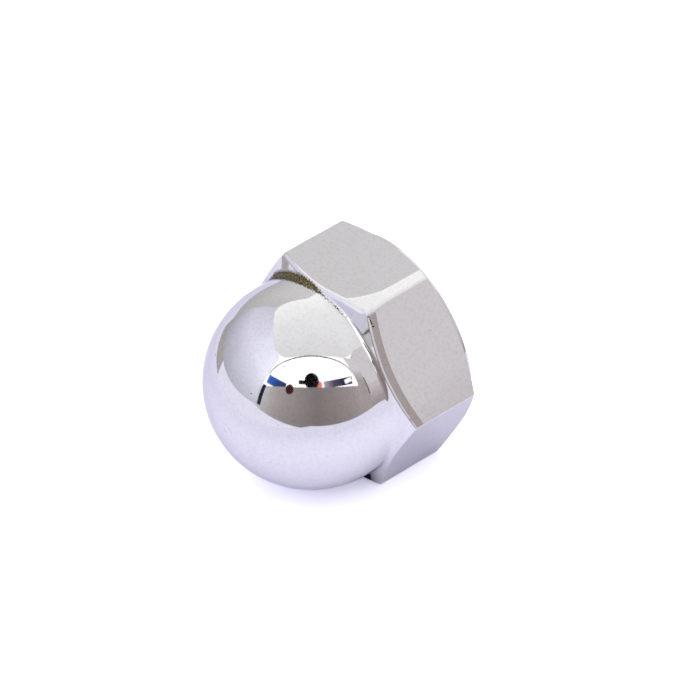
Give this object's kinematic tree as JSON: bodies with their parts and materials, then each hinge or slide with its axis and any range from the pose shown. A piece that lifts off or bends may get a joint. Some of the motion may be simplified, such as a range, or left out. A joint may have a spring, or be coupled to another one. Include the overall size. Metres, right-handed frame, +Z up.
{
  "type": "cap nut",
  "caption": "Polished chrome cap nut: hexagon with a washer face and blind thread at one end and a closed ball-shaped dome at the other.",
  "frame": {"origin": "on the thread's axis, at the face that bears on the work", "axes": "+Y out of the thread's mouth, dome towards -Y, +Z up out of the middle of one flat; the nut lies on the opposite flat, 12 mm below the axis"},
  "size_m": [0.0278, 0.024, 0.024],
  "materials": {
    "chrome_plate": "polished, with a few fine pits in the plating"
  },
  "bodies": {
    "root": {"cap_nut": "chrome_plate"}
  },
  "joints": []
}
